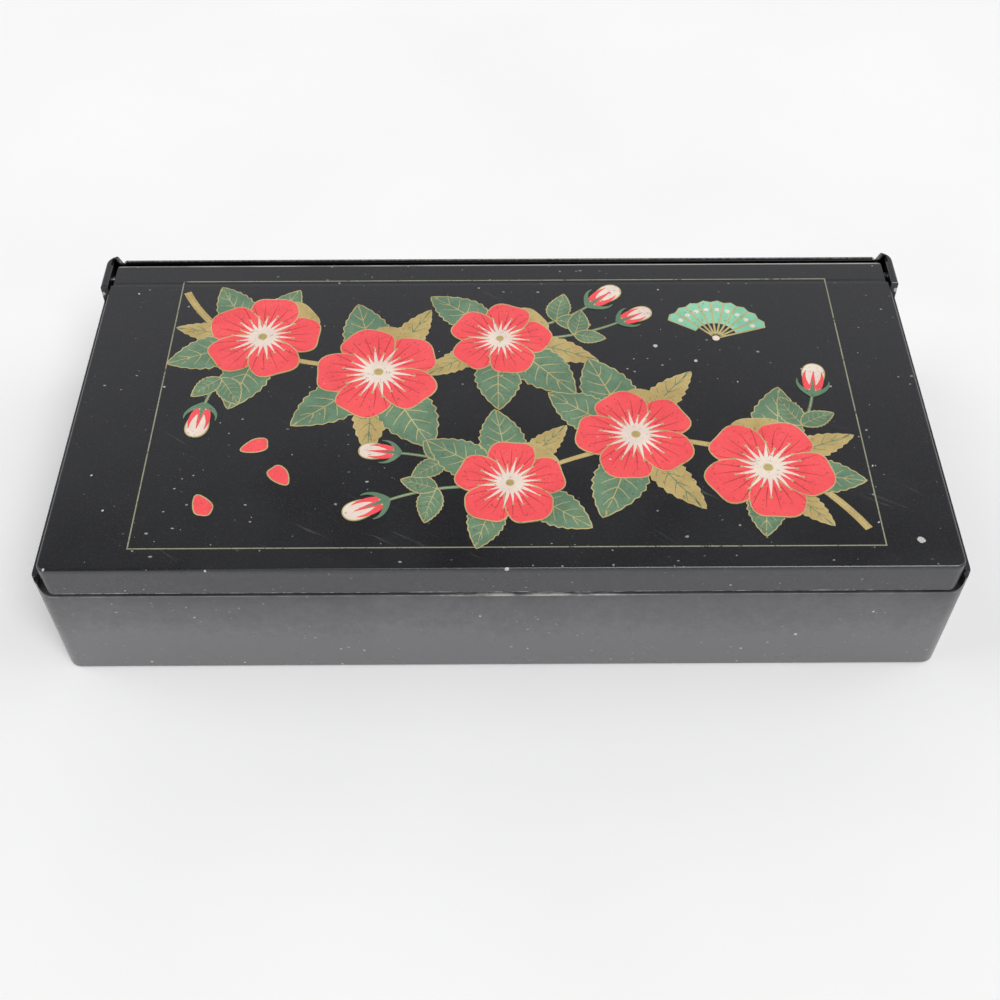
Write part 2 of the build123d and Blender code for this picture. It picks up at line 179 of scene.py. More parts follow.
class EffectGroups:
    """Node groups that several finishes share, each built once."""

    def __init__(self) -> None:
        """Builds every group."""
        self.edge_wear = self._edge_wear()
        self.specks = self._specks()
        self.scuffs = self._scuffs()
        self.grain = self._grain()

    def _start(self, name: str, vectors: str, numbers: str, results: str) -> tuple[Tree, Sockets, Sockets]:
        """Opens a group with its sockets.

        Args:
            name: the group's name.
            vectors: names of the inputs that are vectors.
            numbers: names of the inputs that are numbers.
            results: names of the outputs, all numbers.

        Returns:
            The tree, what it is given, and what it gives back.
        """
        tree = bpy.data.node_groups.new(name, "ShaderNodeTree")
        for labels, way, kind in (
            (vectors, "INPUT", "Vector"), (numbers, "INPUT", "Float"), (results, "OUTPUT", "Float")
        ):
            for label in labels.split():
                tree.interface.new_socket(label, in_out=way, socket_type=f"NodeSocket{kind}")
        return Tree(tree), tree.nodes.new("NodeGroupInput").outputs, tree.nodes.new("NodeGroupOutput").inputs

    def _edge_wear(self) -> bpy.types.NodeTree:
        """Rubbed strip along the edges of a box-shaped piece.

        Returns:
            The group.
        """
        tree, given, result = self._start("edge_wear", "Vector Centre Half", "Width Scale", "Mask")
        offset = tree.vector("SUBTRACT", given["Vector"], given["Centre"])
        depth = tree.vector("SUBTRACT", given["Half"], tree.vector("ABSOLUTE", offset))
        parts = tree.axes(tree.vector("ABSOLUTE", depth))
        from_edge = tree.math("SUBTRACT", tree.plus(*parts), tree.most(*parts))
        uneven = tree.noise(given["Vector"], given["Scale"], 6.0, 0.7)
        reach = tree.times(given["Width"], tree.spread(uneven, 0.42, 0.72, 0.0, 2.0))
        ratio = tree.math("DIVIDE", from_edge, tree.most(reach, 1e-6))
        tree.put(result["Mask"], tree.spread(ratio, 0.6, 1.2, 1.0, 0.0))
        return tree.tree

    def _specks(self) -> bpy.types.NodeTree:
        """Sparse small spots of uneven size, such as dust or tiny chips.

        Returns:
            The group.
        """
        tree, given, result = self._start("specks", "Vector", "Scale Size Share", "Mask")
        wobble = tree.node("TexNoise", {"Vector": given["Vector"], "Scale": 900.0, "Detail": 2.0})["Color"]
        moved = tree.vector("ADD", given["Vector"], tree.vector("MULTIPLY", wobble, (0.5 * MM,) * 3))
        cells = tree.node("TexVoronoi", {"Vector": moved, "Scale": given["Scale"]})
        odds = tree.node("SeparateColor", (cells["Color"],))
        chosen = tree.math("LESS_THAN", odds[0], given["Share"])
        size = tree.times(given["Size"], tree.plus(tree.math("POWER", odds[1], 3.0), 0.25))
        tree.put(result["Mask"], tree.times(chosen, tree.math("LESS_THAN", cells["Distance"], size)))
        return tree.tree

    def _scuffs(self) -> bpy.types.NodeTree:
        """Fine drawn-out scratches in two directions, only where the box is handled.

        Returns:
            The group.
        """
        tree, given, result = self._start("scuffs", "Vector", "Scale", "Mask")
        masks = []
        for turn, drawn in ((0.5, (0.05, 1.0, 1.0)), (-0.9, (1.0, 0.04, 1.0))):
            rotated = tree.node("VectorRotate", {"Vector": given["Vector"], "Angle": turn})[0]
            lines = tree.noise(tree.stretched(rotated, drawn), given["Scale"], 3.0, 0.6)
            masks.append(tree.spread(lines, 0.66, 0.74))
        handled = tree.spread(tree.noise(given["Vector"], 45.0, 1.0), 0.5, 0.62)
        tree.put(result["Mask"], tree.times(tree.most(*masks), handled))
        return tree.tree

    def _grain(self) -> bpy.types.NodeTree:
        """Fine unevenness for bump, and a broad drift for tone.

        Returns:
            The group.
        """
        tree, given, result = self._start("grain", "Vector", "Scale Drift", "Height Tone")
        tree.put(result["Height"], tree.noise(given["Vector"], given["Scale"], 5.0, 0.6))
        tree.put(result["Tone"], tree.spread(tree.noise(given["Vector"], given["Drift"], 3.0), 0.3, 0.7))
        return tree.tree


class Coat(Tree):
    """A material under way: its shader, its object coordinates in metres, and the shared effects."""

    def __init__(self, name: str, groups: EffectGroups) -> None:
        """Starts on a fresh material.

        Args:
            name: the material's name.
            groups: the shared effects.
        """
        self.material = bpy.data.materials.new(name)
        self.material.use_nodes = True
        super().__init__(self.material.node_tree)
        self.groups = groups
        self.place = self.node("TexCoord")["Object"]

    def fill(self, **values: object) -> None:
        """Fills the shader's inputs.

        Args:
            values: values by input name, with _ for a space.
        """
        shader = self.tree.nodes["Principled BSDF"]
        for name, value in values.items():
            self.put(shader.inputs[name.replace("_", " ")], value)

    def effect(self, group: bpy.types.NodeTree, **inputs: object) -> Sockets:
        """Gives the outputs of a shared group, at the material's own place if none is given."""
        return self.node("Group", {"Vector": self.place} | inputs, node_tree=group)

    def grain(self, scale: float, drift: float, **place: object) -> Sockets:
        """Gives the fine unevenness and the broad drift of tone."""
        return self.effect(self.groups.grain, Scale=scale, Drift=drift, **place)

    def scuffs(self, scale: float) -> Socket:
        """Marks fine scratches."""
        return self.effect(self.groups.scuffs, Scale=scale)[0]

    def specks(self, scale: float, size: float, share: float, **place: object) -> Socket:
        """Marks small spots of a size, on a share of the places for one."""
        return self.effect(self.groups.specks, Scale=scale, Size=size, Share=share, **place)[0]

    def bump(self, height: object, relief: float, strength: float, **under: object) -> Socket:
        """Raises a relief, in metres, over the normal under it."""
        return self.node("Bump", {"Height": height, "Distance": relief, "Strength": strength} | under)[0]


@dataclass(frozen=True)
class Finish:
    """What every finish has: a name, the shared effects, and a way to its material."""

    name: str
    groups: EffectGroups

    def lay(self, coat: Coat) -> None:
        """Lays the finish on a material that is under way. Each kind of finish has its own."""

    def build(self) -> Material:
        """Makes the material.

        Returns:
            The material.
        """
        coat = Coat(self.name, self.groups)
        self.lay(coat)
        return coat.material


@dataclass(frozen=True)
class ChipOrGlint:
    """One pale spot, knocked off, or on the case's ears painted as a glint: its place in metres and its
    radius.
    """

    place: Triple
    radius: float


@dataclass(frozen=True)
class RearRim:
    """The rear rim's painted shade on its front half, from start to middle, and the heights of its foot and
    top, in metres.
    """

    start: float
    middle: float
    foot: float
    top: float


@dataclass(frozen=True)
class BlackPlastic(Finish):
    """Black moulded plastic with a lacquer shine: fine texture, dust, scuffs and rubbed edges."""

    centre: Triple
    half: Triple
    colour: Triple = (0.004, 0.004, 0.0055)
    haze: Triple = (0.009, 0.0095, 0.0125)
    # painted light: grey painted onto the side faces in place of the pale table's light on them
    bloom: Triple = (0.147, 0.145, 0.15)
    # rubbed: pale grey of rubbed places, also used for the painted highlights on the rear rim's top and along
    # the lid's rear edge
    rubbed: Triple = (0.5, 0.49, 0.47)
    shine: Triple = (0.95, 0.965, 1.0)
    wear_width: float = 0.22 * MM
    roughness: float = 0.26
    refraction: float = 1.7
    # heights and shares of the painted light: grey on the side faces, more near their foot, none on the top
    # faces
    bloom_top: float = 34.0 * MM
    bloom_fade: float = 11.0 * MM
    bloom_foot: float = 26.0 * MM
    bloom_drift: float = 0.15
    bloom_upper: float = 0.6
    bloom_lower: float = 0.8
    sink_line: float | None = None
    front_rim: float | None = None
    front_face: Point = (-48.5 * MM, -48.2 * MM)
    front_wear_middle: float = 6.0 * MM
    rear_line: float | None = None
    rear_rim: RearRim | None = None
    ear_skin: float = 1.1 * MM
    chips: tuple[ChipOrGlint, ...] = ()

    def lay(self, coat: Coat) -> None:
        """Lays the black, its painted light (grey side faces, lighter towards the foot), its wear and its
        dust, and sinks a line in if it has one.

        Args:
            coat: the material under way.
        """
        height, drift = coat.grain(2600.0, 30.0)
        scuffs = coat.scuffs(900.0)
        wear_and_highlights = self.worn_edges_and_highlights(coat)
        mottle = coat.noise(coat.place, 420.0, 6.0, 0.8)
        tone = coat.blend(coat.times(drift, 0.35), self.colour, self.haze)
        # painted light: side faces painted grey, most near their foot; the top faces stay black
        tone = coat.blend(self.settled(coat, mottle), tone, self.bloom)
        for share in (
            coat.spread(mottle, 0.55, 0.7, 0.0, 0.012),
            coat.spread(height, 0.52, 0.7, 0.0, 0.045),
            coat.times(scuffs, 0.07),
            coat.times(wear_and_highlights, 0.75),
        ):
            tone = coat.blend(share, tone, self.rubbed)
        # dust, knocked spots, and on the case painted glints at the ears
        tone = coat.blend(self.dust(coat), tone, DUST_AND_GLINT)
        # painted shade: the rear rim's front half painted black with little specular, under a painted
        # highlight along its top
        if self.rear_rim is not None:
            shade, painted_crest_highlight = self.rear_rim_shade_and_highlight(coat)
            tone = coat.blend(shade, coat.blend(painted_crest_highlight, tone, self.rubbed), BLACK)
            coat.fill(Specular_IOR_Level=coat.spread(shade, 0.0, 1.0, 0.5, 0.06))
        rough = coat.spread(drift, 0.0, 1.0, self.roughness - 0.04, self.roughness + 0.05)
        rough = coat.plus(rough, coat.times(coat.most(scuffs, wear_and_highlights), 0.2))
        normal = coat.bump(height, 0.04 * MM, 0.22)
        if self.sink_line is not None:
            away = coat.away(coat.axes(coat.place)[1], self.sink_line)
            normal = coat.bump(coat.spread(away, 0.0, 0.9 * MM), 0.06 * MM, 0.5, Normal=normal)
        coat.fill(Base_Color=tone, Roughness=rough, Normal=normal)
        coat.fill(IOR=self.refraction, Specular_Tint=rgba(self.shine))

    def settled(self, coat: Coat, mottle: Socket) -> Socket:
        """Marks painted light: a grey tone painted on the side faces, thicker towards their foot where the
        pale table lights them, and fading out just below the top faces.

        Args:
            coat: the material under way.
            mottle: fine noise that breaks it up.

        Returns:
            Its share of the tone.
        """
        reach = self.bloom_fade * self.bloom_drift
        uneven = coat.spread(coat.noise(coat.place, 65.0, 4.0, 0.6), 0.3, 0.7, -reach, reach)
        height = coat.plus(coat.axes(coat.place)[UP], uneven)
        upper = coat.spread(height, self.bloom_top - self.bloom_fade, self.bloom_top, self.bloom_upper, 0.0)
        lower = coat.spread(height, 0.0, self.bloom_foot, self.bloom_lower, 0.0)
        broken = coat.spread(mottle, 0.3, 0.7, 0.82, 1.12)
        return coat.math("MINIMUM", coat.times(coat.plus(upper, lower), broken), 1.0)

    def worn_edges_and_highlights(self, coat: Coat) -> Socket:
        """Marks the rubbed edges, the rubbed line along the front rim, which is partly a painted highlight of
        the rim's edge, and the painted highlight line along the lid's rear edge.

        Args:
            coat: the material under way.

        Returns:
            The mask.
        """
        wear_and_highlights = coat.effect(
            coat.groups.edge_wear, Centre=self.centre, Half=self.half, Width=self.wear_width, Scale=330.0
        )[0]
        x, y, z = coat.axes(coat.place)
        # painted highlight: a broken pale line along the lid's rear top edge
        if self.rear_line is not None:
            breaks = coat.noise(coat.stretched(coat.place, (0.12, 1.0, 1.0)), 600.0, 4.0)
            line = coat.spread(y, self.rear_line - 0.8 * MM, self.rear_line - 0.6 * MM)
            over = coat.spread(z, self.bloom_top - 0.2 * MM, self.bloom_top)
            wear_and_highlights = coat.most(wear_and_highlights, coat.times(line, over, coat.spread(breaks, 0.3, 0.55, 0.35, 1.0)))
        if self.front_rim is None:
            return wear_and_highlights
        # front rim line: pale scuffs near the middle, and along the rest partly a painted highlight of the
        # rim's edge
        breaks = coat.noise(coat.stretched(coat.place, (0.3, 1.0, 1.0)), 700.0, 5.0, 0.75)
        aside = coat.away(x, self.front_wear_middle)
        width = coat.spread(aside, 8.0 * MM, 30.0 * MM, 0.42 * MM, 0.18 * MM)
        line = coat.times(
            coat.spread(coat.math("DIVIDE", coat.away(z, self.front_rim), width), 0.4, 1.0, 1.0, 0.0),
            coat.spread(y, *self.front_face, 1.0, 0.0),
            coat.spread(breaks, 0.4, 0.6, 0.1, 1.0),
            coat.spread(aside, 14.0 * MM, 30.0 * MM, 1.3, 0.4),
        )
        return coat.most(wear_and_highlights, line)

    def rear_rim_shade_and_highlight(self, coat: Coat) -> tuple[Socket, Socket]:
        """Marks painted shade on the front half of the rear rim between the ears, black and dull, and a
        painted highlight along the rim's top behind it.

        Args:
            coat: the material under way.

        Returns:
            The masks of the painted shade and of the painted highlight.
        """
        rim, step = self.rear_rim, 0.1 * MM
        x, y, z = coat.axes(coat.place)
        end = self.half[0] - self.ear_skin
        shade = coat.times(
            coat.spread(z, rim.foot - 2 * step, rim.foot),
            coat.spread(coat.away(x, self.centre[0]), end - 2 * step, end, 1.0, 0.0),
            coat.spread(y, rim.start - 2 * step, rim.start),
            coat.spread(y, rim.middle - step, rim.middle + step, 1.0, 0.0),
        )
        painted_crest_highlight = coat.times(
            coat.spread(z, rim.top - 6 * step, rim.top - 3 * step),
            coat.spread(z, rim.top + 0.5 * step, rim.top + 1.5 * step, 1.0, 0.0),
            coat.spread(y, rim.middle - step, rim.middle + 2 * step),
            coat.spread(coat.noise(coat.place, 1400.0, 4.0, 0.7), 0.4, 0.65, 0.06, 0.32),
        )
        return shade, painted_crest_highlight

    def dust(self, coat: Coat) -> Socket:
        """Marks fine dust, a few larger specks, the knocked spots, and on the case the painted glints at the
        ears' front corners.

        Args:
            coat: the material under way.

        Returns:
            The mask.
        """
        drawn = coat.stretched(coat.place, (0.65, 1.0, 1.0))
        patches = coat.spread(coat.noise(coat.place, 60.0, 3.0), 0.47, 0.62, 0.0, 0.5)
        mask = coat.most(
            coat.times(coat.specks(480.0, 0.13, 0.3), 0.35),
            coat.times(coat.specks(190.0, 0.075, 0.45), 0.8),
            coat.times(coat.specks(640.0, 0.135, 0.6, Vector=drawn), patches),
        )
        ragged = coat.plus(coat.noise(coat.place, 1300.0, 3.0), 0.5)
        for chip in self.chips:
            away = coat.vector("DISTANCE", coat.place, chip.place, result=1)
            inside = coat.math("LESS_THAN", away, coat.times(ragged, chip.radius))
            mask = coat.most(mask, coat.times(inside, 0.75))
        return mask


@dataclass(frozen=True)
class Velvet(Finish):
    """Short red pile: darker where it lies down, lighter where it stands, with a soft rim of light."""

    colour: Triple = (0.32, 0.012, 0.022)
    light: Triple = (0.55, 0.05, 0.06)
    sheen: Triple = (1.0, 0.35, 0.35)
    shadow: float = 0.45

    def lay(self, coat: Coat) -> None:
        """Lays the pile.

        Args:
            coat: the material under way.
        """
        height, drift = coat.grain(5200.0, 90.0)
        tone = coat.blend(coat.times(drift, 0.55), self.colour, self.light)
        tone = coat.blend(coat.times(coat.scuffs(140.0), 0.25), tone, self.light)
        deep = tuple(channel * self.shadow for channel in self.colour)
        tone = coat.blend(coat.spread(height, 0.3, 0.7, 0.0, 0.5), tone, deep)
        coat.fill(Base_Color=tone, Normal=coat.bump(height, 0.3 * MM, 0.7))
        coat.fill(Sheen_Weight=0.55, Sheen_Roughness=0.35, Sheen_Tint=rgba(self.sheen))
        coat.fill(Roughness=0.92, Specular_IOR_Level=0.12)


@dataclass(frozen=True)
class Ink(Finish):
    """Printed enamel on the lid: print grain, a slow change of tone, dust, and breaks where it is rubbed."""

    colour: Triple = (0.7, 0.1, 0.08)
    second: Triple = (0.6, 0.07, 0.05)
    metal: float = 0.0
    roughness: float = 0.42
    broken: float = 0.0
    whole: float = 0.72

    def lay(self, coat: Coat) -> None:
        """Lays the ink.

        Args:
            coat: the material under way.
        """
        height, drift = coat.grain(2200.0, 150.0)
        rubbed = coat.noise(coat.place, 300.0, 7.0, 0.85)
        pits = coat.noise(coat.place, 1500.0, 2.0, 0.6)
        tone = coat.blend(drift, self.colour, self.second)
        for share, colour in (
            (coat.spread(height, 0.5, 0.7, 0.0, 0.4), self.second),
            (coat.spread(height, 0.3, 0.42, 0.14, 0.0), PALE_GRIT),
            (coat.spread(rubbed, 0.5, 0.66, 0.0, 0.55), self.second),
            (coat.spread(pits, 0.62, 0.7, 0.0, 0.5), PIT),
            (coat.times(coat.specks(420.0, 0.09, 0.3), 0.6), PALE_GRIT),
        ):
            tone = coat.blend(share, tone, colour)
        rough = coat.spread(drift, 0.0, 1.0, self.roughness - 0.06, self.roughness + 0.08)
        rough = coat.plus(rough, coat.times(coat.scuffs(900.0), 0.2))
        coat.fill(Base_Color=tone, Roughness=rough, Metallic=self.metal)
        if self.broken:
            edge = self.whole - self.broken
            gaps = coat.noise(coat.place, 420.0, 5.0, 0.75)
            coat.fill(Alpha=coat.spread(gaps, edge, edge + 0.03, 1.0, 0.25))
        coat.fill(Normal=coat.bump(height, 0.03 * MM, 0.35))


@dataclass(frozen=True)
class Steel(Finish):
    """Drawn steel wire with a fine grain."""

    bright: Triple = (0.55, 0.54, 0.52)
    dull: Triple = (0.36, 0.35, 0.34)

    def lay(self, coat: Coat) -> None:
        """Lays the steel.

        Args:
            coat: the material under way.
        """
        height, drift = coat.grain(4000.0, 900.0)
        coat.fill(Base_Color=coat.blend(drift, self.bright, self.dull), Metallic=1.0)
        coat.fill(Roughness=coat.spread(height, 0.3, 0.7, 0.25, 0.45))
        coat.fill(Normal=coat.bump(height, 0.03 * MM, 0.4))


@dataclass(frozen=True)
class Silvering(Finish):
    """Mirror glass with faint smears and dust."""

    silver: Triple = (0.86, 0.88, 0.88)
    speck: Triple = (0.5, 0.5, 0.48)

    def lay(self, coat: Coat) -> None:
        """Lays the silvering.

        Args:
            coat: the material under way.
        """
        drift = coat.grain(240.0, 55.0)["Tone"]
        dust = coat.times(coat.specks(300.0, 0.07, 0.04), 0.4)
        coat.fill(Base_Color=coat.blend(dust, self.silver, self.speck), Metallic=1.0)
        coat.fill(Roughness=coat.spread(drift, 0.2, 1.0, 0.02, 0.07))


@dataclass(frozen=True)
class Board(Finish):
    """Card or foam: fibres or fine cells in a plain matt colour."""

    colour: Triple = (0.32, 0.3, 0.27)
    second: Triple = (0.22, 0.21, 0.19)
    scale: float = 1800.0

    def lay(self, coat: Coat) -> None:
        """Lays the fibres.

        Args:
            coat: the material under way.
        """
        drawn = coat.stretched(coat.place, (1.0, 0.35, 1.0))
        height, drift = coat.grain(self.scale, 150.0, Vector=drawn)
        coat.fill(Base_Color=coat.blend(coat.spread(height, 0.4, 0.65), self.colour, self.second))
        coat.fill(Roughness=coat.spread(drift, 0.0, 1.0, 0.8, 0.95), Normal=coat.bump(height, 0.1 * MM, 0.5))


@dataclass(frozen=True)
class TableTop(Finish):
    """Pale cloth-covered table with a very faint mottle."""

    pale: Triple = (0.93, 0.93, 0.93)
    dim: Triple = (0.9, 0.9, 0.9)

    def lay(self, coat: Coat) -> None:
        """Lays the cloth.

        Args:
            coat: the material under way.
        """
        height, drift = coat.grain(900.0, 9.0)
        coat.fill(Base_Color=coat.blend(drift, self.pale, self.dim), Roughness=0.85, Specular_IOR_Level=0.2)
        coat.fill(Normal=coat.bump(height, 0.1 * MM, 0.15))


def corners(node: str) -> tuple[Vector, Vector]:
    """Gives the lowest and the highest corner of a solid."""
    low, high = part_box(node)
    return Vector(low), Vector(high)


def placed(name: str, data: bpy.types.ID) -> Piece:
    """Puts a mesh, a lamp or a camera in the scene.

    Args:
        name: the object's name.
        data: what it shows.

    Returns:
        The object.
    """
    piece = bpy.data.objects.new(name, data)
    bpy.context.scene.collection.objects.link(piece)
    return piece


def meshed(name: str, bm: BMesh) -> bpy.types.Mesh:
    """Turns a bmesh into a mesh.

    Args:
        name: the mesh's name.
        bm: the finished bmesh. It is freed.

    Returns:
        The mesh.
    """
    mesh = bpy.data.meshes.new(name)
    bm.to_mesh(mesh)
    bm.free()
    return mesh


def shown(name: str, bm: BMesh, material: Material, body: Body) -> Piece:
    """Turns a bmesh into a piece of the object.

    Args:
        name: the piece's name.
        bm: the finished mesh, in metres in the shared frame. It is freed.
        material: its finish.
        body: the body that it rides on.

    Returns:
        The piece.
    """
    mesh = meshed(name, bm)
    mesh.materials.append(material)
    piece = placed(name, mesh)
    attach(piece, body.value)
    return piece


def block(size: object, middle: Vector) -> BMesh:
    """Starts a piece as a plain block.

    Args:
        size: its size along X, Y and Z.
        middle: its middle.

    Returns:
        The block's mesh.
    """
    bm = bmesh.new()
    bmesh.ops.create_cube(bm, size=1.0)
    bmesh.ops.scale(bm, vec=size, verts=bm.verts)
    bmesh.ops.translate(bm, vec=middle, verts=bm.verts)
    return bm


def raised(bm: BMesh, faces: list, rise: float) -> None:
    """Makes closed slabs of flat faces.

    Args:
        bm: the mesh that they lie in.
        faces: the faces.
        rise: thickness of the slabs, upwards.
    """
    made = bmesh.ops.extrude_face_region(bm, geom=faces, use_keep_orig=True)["geom"]
    top = [part for part in made if isinstance(part, bmesh.types.BMVert)]
    bmesh.ops.translate(bm, vec=(0, 0, rise), verts=top)


def rounded(bm: BMesh, parts: list, radius: float, segments: int, **options: object) -> None:
    """Rounds edges off, or corners with the option affect="VERTICES"."""
    options = {"affect": "EDGES", "profile": 0.5, "material": -1} | options
    bmesh.ops.bevel(bm, geom=parts, offset=radius, segments=segments, **options)


def smoothed(bm: BMesh) -> BMesh:
    """Shades every face of a mesh smoothly.

    Args:
        bm: the mesh.

    Returns:
        The same mesh.
    """
    for face in bm.faces:
        face.smooth = True
    return bm


class InkLayer:
    """Flat printed shapes of one colour, each a thin closed slab that stands on the lid."""

    SKIN = 0.010 * MM
    STEP = 0.0025 * MM
    SUNK = 0.002 * MM

    def __init__(self, name: str, material: Material, ground: float) -> None:
        """Starts an empty layer.

        Args:
            name: the piece's name.
            material: the ink.
            ground: height of the printed face, in metres.
        """
        self.name = name
        self.material = material
        self.low = ground - self.SUNK
        self.bm = bmesh.new()

    def slab(self, outline: list[Point], level: int) -> None:
        """Adds one shape.

        Args:
            outline: its corners in order, in millimetres.
            level: how many steps it stands over the first print.
        """
        face = self.bm.faces.new([self.bm.verts.new((x * MM, y * MM, self.low)) for x, y in outline])
        face.normal_update()
        if face.normal.z > 0:
            face.normal_flip()
        raised(self.bm, [face], self.SUNK + self.SKIN + level * self.STEP)

    def finish(self) -> Piece:
        """Closes the layer.

        Returns:
            The printed piece.
        """
        bmesh.ops.recalc_face_normals(self.bm, faces=self.bm.faces)
        bmesh.ops.triangulate(self.bm, faces=self.bm.faces, ngon_method="EAR_CLIP")
        return shown(self.name, self.bm, self.material, Body.LID)


def turned(points: list[Point], angle: float) -> list[Point]:
    """Turns an outline about the origin by an angle in radians."""
    cosine, sine = math.cos(angle), math.sin(angle)
    return [(x * cosine - y * sine, x * sine + y * cosine) for x, y in points]


@dataclass
class Spot:
    """Where a motif is printed: its place, turn and size."""

    x: float
    y: float
    turn: float
    size: float

    def outline(self, points: list[Point]) -> list[Point]:
        """Carries an outline from sizes of the motif to millimetres on the lid."""
        sized = [(x * self.size, y * self.size) for x, y in points]
        return [(self.x + x, self.y + y) for x, y in turned(sized, self.turn)]


def grown(outline: list[Point], margin: float) -> list[Point]:
    """Moves an outline outwards along its normals.

    Args:
        outline: corners in order.
        margin: distance, in the outline's unit.

    Returns:
        The wider outline.
    """
    following = outline[1:] + outline[:1]
    area = sum(a[0] * b[1] - b[0] * a[1] for a, b in zip(outline, following))
    margin = math.copysign(margin, area)
    wide = []
    for before, point, after in zip(outline[-1:] + outline[:-1], outline, following):
        away = Vector((after[1] - before[1], before[0] - after[0])).normalized() * margin
        wide.append((point[0] + away.x, point[1] + away.y))
    return wide


def petal(length: float, width: float, ripple: float, phase: float, steps: int = 40) -> list[Point]:
    """Outline of a round petal that starts at the origin and points along X.

    Args:
        length: from its foot to its tip.
        width: widest half width.
        ripple: how wavy its edge is.
        phase: shifts the waves.
        steps: corners.

    Returns:
        The outline.
    """
    points = []
    for angle in (math.tau * step / steps for step in range(steps)):
        along = 0.5 - 0.5 * math.cos(angle)
        wave = 1 + ripple * along * math.sin(5 * angle + phase)
        across = math.sin(angle) * (0.42 + 0.58 * along)
        points.append((length * along * wave, width * across * wave))
    return points


def leaf(width: float, bend: float, teeth: int, bite: float) -> list[Point]:
    """Outline of a pointed leaf with a toothed edge, from its stalk at the origin to its tip at X 1.

    Args:
        width: widest half width.
        bend: how far the tip swings to the side.
        teeth: teeth along each side.
        bite: depth of a tooth.

    Returns:
        The outline.
    """
    steps = teeth * 3
    points = []
    for side, run in ((-1, range(steps)), (1, range(steps, 0, -1))):
        for step in run:
            along = step / steps
            tooth = (step % 3) / 2 * bite * math.sin(math.pi * along)
            half = width * math.sin(math.pi * along**0.8) ** 0.85 + tooth
            points.append((along, bend * along * along + side * half))
    return points


def stroke(start: Point, pull: Point, end: Point, first: float, last: float, steps: int = 8) -> list[Point]:
    """Outline of a brush stroke along a bowed line.

    Args:
        start: where it starts.
        pull: control point of the bow.
        end: where it ends.
        first: half width at the start.
        last: half width at the end.
        steps: stretches along it.

    Returns:
        The outline.
    """
    left, right = [], []
    for share in (step / steps for step in range(steps + 1)):
        rest = 1 - share
        bow = list(zip(start, pull, end))
        x, y = (rest * rest * a + 2 * rest * share * b + share * share * c for a, b, c in bow)
        way = [2 * rest * (b - a) + 2 * share * (c - b) for a, b, c in bow]
        long = math.hypot(*way) or 1.0
        half = first + (last - first) * share
        off_x, off_y = -way[1] / long * half, way[0] / long * half
        left.append((x + off_x, y + off_y))
        right.append((x - off_x, y - off_y))
    return right + left[::-1]


def disc(x: float, y: float, radius: float, steps: int = 14) -> list[Point]:
    """Outline of a dot round X and Y, with so many corners."""
    turns = (math.tau * step / steps for step in range(steps))
    return [(x + radius * math.cos(turn), y + radius * math.sin(turn)) for turn in turns]


def rectangle(x: float, y: float, wide: float, deep: float) -> list[Point]:
    """Outline of a rectangle round X and Y."""
    return [(x + sx * wide / 2, y + sy * deep / 2) for sx, sy in ((-1, -1), (1, -1), (1, 1), (-1, 1))]


@dataclass(frozen=True)
class Blossom:
    """A blossom: its middle, its share of the full size, the leaves behind it, and which of those are ochre.

    Each leaf is its direction in degrees and its length in millimetres.
    """

    x: float
    y: float
    share: float
    leaves: tuple[Point, ...]
    ochre: tuple[int, ...]


@dataclass(frozen=True)
class Twig:
    """A bowed twig: its start, its bow and its end, its half width at both ends, and its level."""

    start: Point
    bow: Point
    end: Point
    first: float = 0.45
    last: float = 0.35
    level: int = 4


BLOSSOMS = (
    Blossom(-56, 20, 1.0, ((72, 13), (128, 16), (172, 16), (206, 18), (262, 19)), (2,)),
    Blossom(-28, 8, 1.06, ((104, 19), (62, 19), (225, 20), (262, 20), (300, 22)), (1, 3)),
    Blossom(0, 19, 0.88, ((130, 17), (215, 16), (268, 18), (318, 20), (350, 19)), (1, 4)),
    Blossom(58, -22, 1.04, ((262, 14), (300, 15), (348, 16), (30, 17), (70, 20)), (1, 3)),
    Blossom(30, -12, 0.98, ((112, 21), (64, 19), (150, 18), (252, 20), (300, 20)), (1, 4)),
    Blossom(2, -26, 0.88, ((60, 16), (98, 17), (142, 17), (238, 14), (322, 16)), (0,)),
)
MAIN_TWIGS = (
    Twig((-76, 36), (-62, 8), (-24, 10), 0.9, 0.6, 0),
    Twig((-30, 9), (-12, 10), (2, 20), 0.7, 0.45, 2),
    Twig((77, -39), (62, -12), (26, -13), 0.9, 0.6, 0),
    Twig((32, -14), (14, -18), (0, -27), 0.7, 0.45, 2),
)
BUD_TWIGS = (
    (Twig((4, 22), (14, 24), (22, 31)), 9.0),
    (Twig((6, 19), (18, 19), (29, 25), level=6), 8.0),
    (Twig((-58, 16), (-66, 6), (-67, -3)), 9.0),
    (Twig((-2, -27), (-14, -26), (-25, -31), level=6), 9.0),
    (Twig((-2, -24), (-12, -18), (-23, -17)), 8.0),
    (Twig((60, -18), (69, -10), (71, 1), level=6), 9.0),
)
LOOSE_PETALS = ((-57, -16, 0.4), (-46, -26, 2.2), (-65, -29, 5.2))
FAN_SPOT = Spot(51, 19, 1.45, 12.5)
INKS = {
    "border": ((156, 156, 132), (140, 140, 116), 0.0, 0.45, 0.14),
    "coral": ((250, 90, 94), (240, 78, 84)),
    "deep_coral": ((208, 62, 68), (192, 54, 60)),
    "green": ((112, 142, 112), (90, 122, 96)),
    "ochre": ((196, 172, 112), (176, 152, 94)),
    "cream": ((240, 228, 212), (228, 208, 196)),
    "mint": ((150, 212, 180), (126, 194, 162)),
    "gold": ((204, 190, 136), (180, 164, 110), 0.1, 0.42),
}


